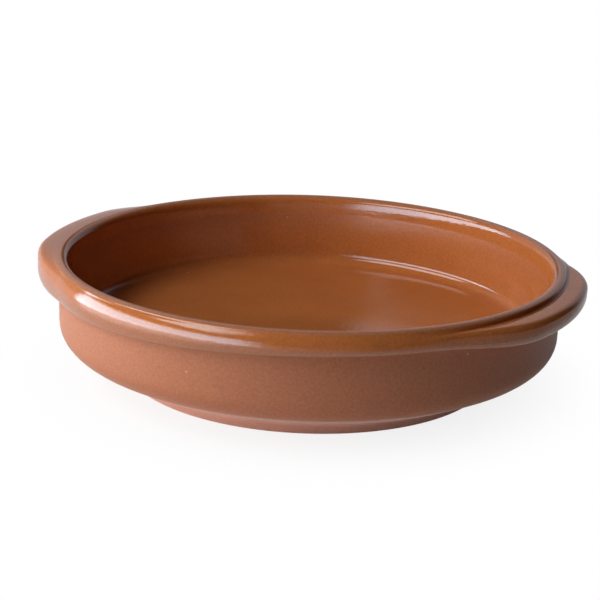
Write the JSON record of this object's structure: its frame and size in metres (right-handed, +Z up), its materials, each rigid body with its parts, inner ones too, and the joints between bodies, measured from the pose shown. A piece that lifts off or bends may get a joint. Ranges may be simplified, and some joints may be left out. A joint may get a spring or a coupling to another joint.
{
  "type": "cazuela",
  "caption": "Round shallow earthenware cooking dish with a rolled rim, two low lug handles and a small foot, glazed.",
  "frame": {"origin": "centre of the foot ring, on the surface the dish stands on", "axes": "+Z up out of the bowl, +X through the middle of one lug handle, +Y in the table plane"},
  "size_m": [0.264, 0.248, 0.0575],
  "materials": {
    "glazed_clay": "clear glossy glaze over red earthenware, all over apart from the foot's standing ring"
  },
  "bodies": {
    "root": {"cazuela": "glazed_clay"}
  },
  "joints": []
}
